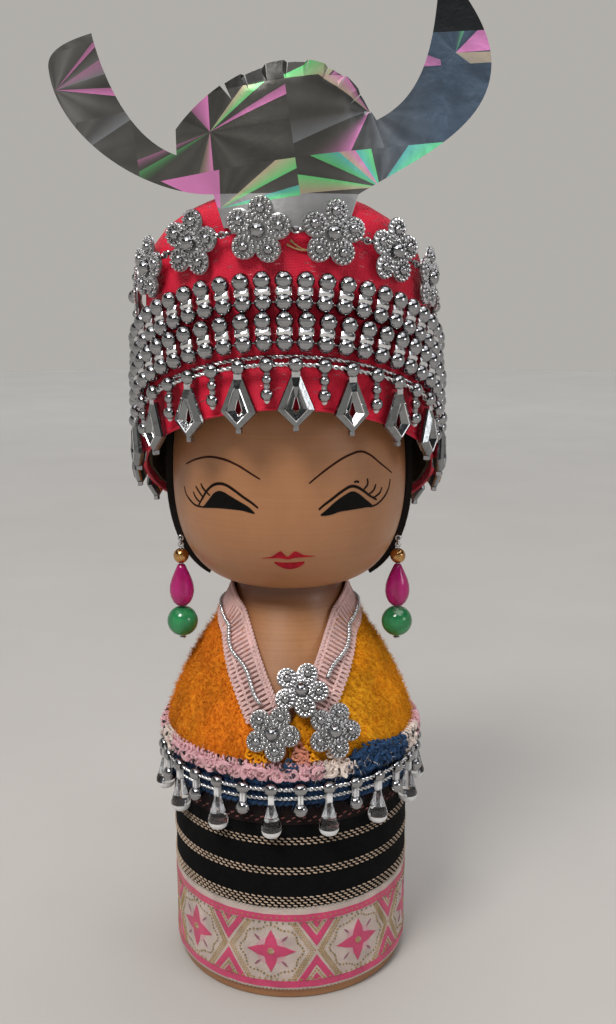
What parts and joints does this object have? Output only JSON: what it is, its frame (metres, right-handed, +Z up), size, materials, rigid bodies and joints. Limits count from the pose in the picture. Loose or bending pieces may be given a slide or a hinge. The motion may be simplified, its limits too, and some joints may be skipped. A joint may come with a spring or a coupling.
{
  "type": "wooden doll",
  "caption": "Turned wooden doll in festival dress: a head that turns on a dowel, beaded red hat with a horned foil crest, swinging pendant fringes and bead earrings.",
  "frame": {"origin": "centre of the flat round base, on the surface the doll stands on", "axes": "+Z up through the neck and head; the painted face looks towards -Y, so +X is on the right as seen from the front"},
  "size_m": [0.129, 0.1013, 0.3126],
  "materials": {
    "turned_wood": "fine sanded, bare with a thin clear coat",
    "jacquard_ribbon": "woven jacquard ribbon, cream with pink and olive figures",
    "black_cloth": "plain woven cloth with beige dashed stripes",
    "blue_yarn": "loose dark blue yarn braid",
    "pink_chenille": "tufted chenille in pink and cream",
    "orange_felt": "fuzzy felt",
    "yellow_felt": "fuzzy felt",
    "peach_braid": "looped gimp braid",
    "silver_cord": "twisted metallic yarn",
    "silver_trim": "bright metallised silver",
    "clear_acrylic": "clear with a frosted lower end",
    "black_hair": "black velvet felt",
    "red_satin": "fine red satin mesh with small glitter",
    "hat_card": "plain card",
    "foil_card": "holographic silver foil on card",
    "steel_wire": "bright drawn wire",
    "gold_bead": "bright metallised gold",
    "magenta_acrylic": "translucent polished acrylic",
    "green_glass": "polished marbled glass"
  },
  "bodies": {
    "torso": {"chest_flower_left": "silver_trim", "chest_flower_right": "silver_trim", "chest_flower_top": "silver_trim", "collar_cord_left": "silver_cord", "collar_cord_right": "silver_cord", "collar_trim_left": "peach_braid", "collar_trim_right": "peach_braid", "hem_ribbon": "jacquard_ribbon", "jacket_left": "orange_felt", "jacket_right": "yellow_felt", "neck_dowel": "turned_wood", "skirt_cloth": "black_cloth", "torso_block": "turned_wood", "waist_braid": "blue_yarn", "waist_fringe_cord": "silver_cord", "waist_tuft_trim": "pink_chenille"},
    "head": {"bead_band_lower": "silver_trim", "bead_band_upper": "silver_trim", "crest_plate": "foil_card", "ear_eye_left": "steel_wire", "ear_eye_right": "steel_wire", "flower_chain": "silver_trim", "hair_cap": "black_hair", "hat_card": "hat_card", "hat_cover": "red_satin", "hat_fringe_cord": "silver_cord", "head_block": "turned_wood"},
    "hat_drop_1": {"hat_drop_1": "silver_trim"},
    "hat_drop_2": {"hat_drop_2": "silver_trim"},
    "hat_drop_3": {"hat_drop_3": "silver_trim"},
    "hat_drop_4": {"hat_drop_4": "silver_trim"},
    "hat_drop_5": {"hat_drop_5": "silver_trim"},
    "hat_drop_6": {"hat_drop_6": "silver_trim"},
    "hat_kite_1": {"hat_kite_1": "silver_trim"},
    "hat_kite_2": {"hat_kite_2": "silver_trim"},
    "hat_kite_3": {"hat_kite_3": "silver_trim"},
    "hat_kite_4": {"hat_kite_4": "silver_trim"},
    "hat_kite_5": {"hat_kite_5": "silver_trim"},
    "hat_kite_6": {"hat_kite_6": "silver_trim"},
    "hat_kite_7": {"hat_kite_7": "silver_trim"},
    "waist_ball_drop_1": {"waist_ball_drop_1": "silver_trim"},
    "waist_ball_drop_2": {"waist_ball_drop_2": "silver_trim"},
    "waist_ball_drop_3": {"waist_ball_drop_3": "silver_trim"},
    "waist_ball_drop_4": {"waist_ball_drop_4": "silver_trim"},
    "waist_ball_drop_5": {"waist_ball_drop_5": "silver_trim"},
    "waist_teardrop_1": {"waist_teardrop_1": "clear_acrylic"},
    "waist_teardrop_2": {"waist_teardrop_2": "clear_acrylic"},
    "waist_teardrop_3": {"waist_teardrop_3": "clear_acrylic"},
    "waist_teardrop_4": {"waist_teardrop_4": "clear_acrylic"},
    "waist_teardrop_5": {"waist_teardrop_5": "clear_acrylic"},
    "ear_link_left": {"ear_ring_left": "steel_wire"},
    "earring_left": {"ear_pin_left": "steel_wire", "gold_bead_left": "gold_bead", "magenta_drop_left": "magenta_acrylic", "green_bead_left": "green_glass"},
    "ear_link_right": {"ear_ring_right": "steel_wire"},
    "earring_right": {"ear_pin_right": "steel_wire", "gold_bead_right": "gold_bead", "magenta_drop_right": "magenta_acrylic", "green_bead_right": "green_glass"}
  },
  "joints": [
    {"name": "head_turn", "type": "hinge", "parent": "torso", "child": "head", "pos_m": [0, 0, 0.1313], "axis": [0, 0, 1], "continuous": true},
    {"name": "hat_drop_1_swing", "type": "hinge", "parent": "head", "child": "hat_drop_1", "pos_m": [-0.03388, -0.03488, 0.19659], "axis": [-0.6803, 0.6562, -0.3264], "range_deg": [0, 50]},
    {"name": "hat_drop_2_swing", "type": "hinge", "parent": "head", "child": "hat_drop_2", "pos_m": [-0.02073, -0.04391, 0.20108], "axis": [-0.8867, 0.4139, -0.2058], "range_deg": [0, 50]},
    {"name": "hat_drop_3_swing", "type": "hinge", "parent": "head", "child": "hat_drop_3", "pos_m": [-0.00536, -0.04819, 0.20321], "axis": [-0.993, 0.1057, -0.0525], "range_deg": [0, 50]},
    {"name": "hat_drop_4_swing", "type": "hinge", "parent": "head", "child": "hat_drop_4", "pos_m": [0.01057, -0.04724, 0.20274], "axis": [-0.9689, -0.2214, 0.1101], "range_deg": [0, 50]},
    {"name": "hat_drop_5_swing", "type": "hinge", "parent": "head", "child": "hat_drop_5", "pos_m": [0.02532, -0.04118, 0.19972], "axis": [-0.8219, -0.51, 0.2536], "range_deg": [0, 50]},
    {"name": "hat_drop_6_swing", "type": "hinge", "parent": "head", "child": "hat_drop_6", "pos_m": [0.03731, -0.03065, 0.19448], "axis": [-0.5902, -0.7228, 0.3595], "range_deg": [0, 50]},
    {"name": "hat_kite_1_swing", "type": "hinge", "parent": "head", "child": "hat_kite_1", "pos_m": [-0.03916, -0.02887, 0.1936], "axis": [-0.5531, 0.7459, -0.371], "range_deg": [0, 50]},
    {"name": "hat_kite_2_swing", "type": "hinge", "parent": "head", "child": "hat_kite_2", "pos_m": [-0.02768, -0.03994, 0.19911], "axis": [-0.7933, 0.5451, -0.2711], "range_deg": [0, 50]},
    {"name": "hat_kite_3_swing", "type": "hinge", "parent": "head", "child": "hat_kite_3", "pos_m": [-0.01322, -0.04669, 0.20246], "axis": [-0.955, 0.2657, -0.1321], "range_deg": [0, 50]},
    {"name": "hat_kite_4_swing", "type": "hinge", "parent": "head", "child": "hat_kite_4", "pos_m": [0.00265, -0.04838, 0.2033], "axis": [-0.9978, -0.0593, 0.0295], "range_deg": [0, 50]},
    {"name": "hat_kite_5_swing", "type": "hinge", "parent": "head", "child": "hat_kite_5", "pos_m": [0.0182, -0.04482, 0.20153], "axis": [-0.9088, -0.3736, 0.1858], "range_deg": [0, 50]},
    {"name": "hat_kite_6_swing", "type": "hinge", "parent": "head", "child": "hat_kite_6", "pos_m": [0.03175, -0.03641, 0.19735], "axis": [-0.7139, -0.627, 0.3118], "range_deg": [0, 50]},
    {"name": "hat_kite_7_swing", "type": "hinge", "parent": "head", "child": "hat_kite_7", "pos_m": [0.04184, -0.02405, 0.19121], "axis": [-0.4557, -0.797, 0.3964], "range_deg": [0, 50]},
    {"name": "waist_ball_drop_1_swing", "type": "hinge", "parent": "torso", "child": "waist_ball_drop_1", "pos_m": [-0.02912, -0.03123, 0.0744], "axis": [-0.7314, 0.682, 0], "range_deg": [0, 50]},
    {"name": "waist_ball_drop_2_swing", "type": "hinge", "parent": "torso", "child": "waist_ball_drop_2", "pos_m": [-0.0139, -0.04037, 0.0744], "axis": [-0.9455, 0.3256, 0], "range_deg": [0, 50]},
    {"name": "waist_ball_drop_3_swing", "type": "hinge", "parent": "torso", "child": "waist_ball_drop_3", "pos_m": [0.00372, -0.04254, 0.0744], "axis": [-0.9962, -0.0872, 0], "range_deg": [0, 50]},
    {"name": "waist_ball_drop_4_swing", "type": "hinge", "parent": "torso", "child": "waist_ball_drop_4", "pos_m": [0.0207, -0.03735, 0.0744], "axis": [-0.8746, -0.4848, 0], "range_deg": [0, 50]},
    {"name": "waist_ball_drop_5_swing", "type": "hinge", "parent": "torso", "child": "waist_ball_drop_5", "pos_m": [0.0341, -0.0257, 0.0744], "axis": [-0.6018, -0.7986, 0], "range_deg": [0, 50]},
    {"name": "waist_teardrop_1_swing", "type": "hinge", "parent": "torso", "child": "waist_teardrop_1", "pos_m": [-0.03498, -0.02449, 0.0744], "axis": [-0.5736, 0.8192, 0], "range_deg": [0, 50]},
    {"name": "waist_teardrop_2_swing", "type": "hinge", "parent": "torso", "child": "waist_teardrop_2", "pos_m": [-0.02199, -0.0366, 0.0744], "axis": [-0.8572, 0.515, 0], "range_deg": [0, 50]},
    {"name": "waist_teardrop_3_swing", "type": "hinge", "parent": "torso", "child": "waist_teardrop_3", "pos_m": [-0.0052, -0.04238, 0.0744], "axis": [-0.9925, 0.1219, 0], "range_deg": [0, 50]},
    {"name": "waist_teardrop_4_swing", "type": "hinge", "parent": "torso", "child": "waist_teardrop_4", "pos_m": [0.01248, -0.04083, 0.0744], "axis": [-0.9563, -0.2924, 0], "range_deg": [0, 50]},
    {"name": "waist_teardrop_5_swing", "type": "hinge", "parent": "torso", "child": "waist_teardrop_5", "pos_m": [0.02801, -0.03223, 0.0744], "axis": [-0.7547, -0.6561, 0], "range_deg": [0, 50]},
    {"name": "earring_left_sway", "type": "hinge", "parent": "head", "child": "ear_link_left", "pos_m": [-0.0351, -0.00646, 0.1446], "axis": [0, 1, 0], "range_deg": [-3, 45]},
    {"name": "earring_left_swing", "type": "hinge", "parent": "ear_link_left", "child": "earring_left", "pos_m": [-0.0351, -0.00646, 0.1435], "axis": [1, 0, 0], "range_deg": [-35, 20]},
    {"name": "earring_right_sway", "type": "hinge", "parent": "head", "child": "ear_link_right", "pos_m": [0.0351, -0.00646, 0.1446], "axis": [0, -1, 0], "range_deg": [-3, 45]},
    {"name": "earring_right_swing", "type": "hinge", "parent": "ear_link_right", "child": "earring_right", "pos_m": [0.0351, -0.00646, 0.1435], "axis": [1, 0, 0], "range_deg": [-35, 20]}
  ]
}
